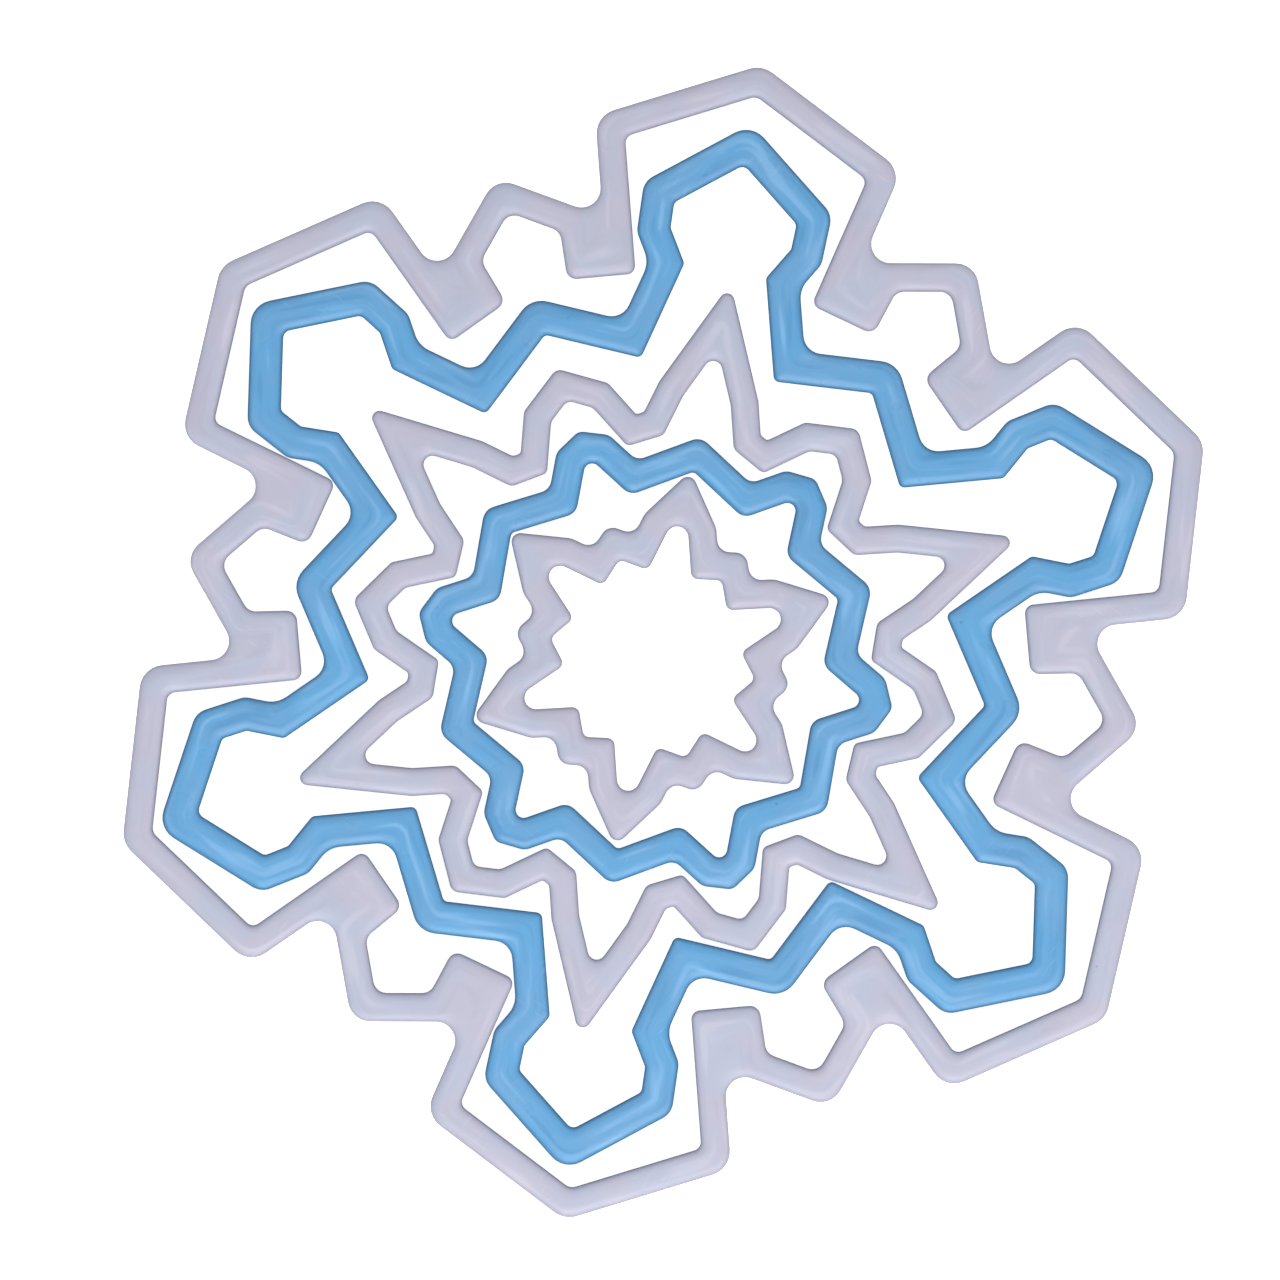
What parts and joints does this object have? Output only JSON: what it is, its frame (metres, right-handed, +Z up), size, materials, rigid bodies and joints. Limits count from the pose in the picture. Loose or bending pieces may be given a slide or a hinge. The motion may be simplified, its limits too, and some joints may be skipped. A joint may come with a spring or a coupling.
{
  "type": "nested snowflake cutter set",
  "caption": "Six-armed snowflake dough cutters in graded sizes, nested one inside the other, each a thin wall with a flat grip rim and a cutting edge.",
  "frame": {"origin": "on the resting plane, under the centre of the largest cutter", "axes": "+Z up, from the cutting edges to the grip rims; +Y along one arm of the largest cutter; +X to the right, between two arms"},
  "size_m": [0.1604, 0.1834, 0.022],
  "materials": {
    "pale_lilac_plastic": "gloss, slightly translucent moulded plastic",
    "sky_blue_plastic": "gloss, slightly translucent moulded plastic"
  },
  "bodies": {
    "largest": {"largest_cutter": "pale_lilac_plastic"},
    "large": {"large_cutter": "sky_blue_plastic"},
    "middle": {"middle_cutter": "pale_lilac_plastic"},
    "small": {"small_cutter": "sky_blue_plastic"},
    "smallest": {"smallest_cutter": "pale_lilac_plastic"}
  },
  "joints": [
    {"name": "large_lift", "type": "slide", "parent": "largest", "child": "large", "axis": [0, 0, 1], "range_m": [0, 0.03]},
    {"name": "middle_lift", "type": "slide", "parent": "largest", "child": "middle", "axis": [0, 0, 1], "range_m": [0, 0.06]},
    {"name": "small_lift", "type": "slide", "parent": "largest", "child": "small", "axis": [0, 0, 1], "range_m": [0, 0.09]},
    {"name": "smallest_lift", "type": "slide", "parent": "largest", "child": "smallest", "axis": [0, 0, 1], "range_m": [0, 0.12]}
  ]
}
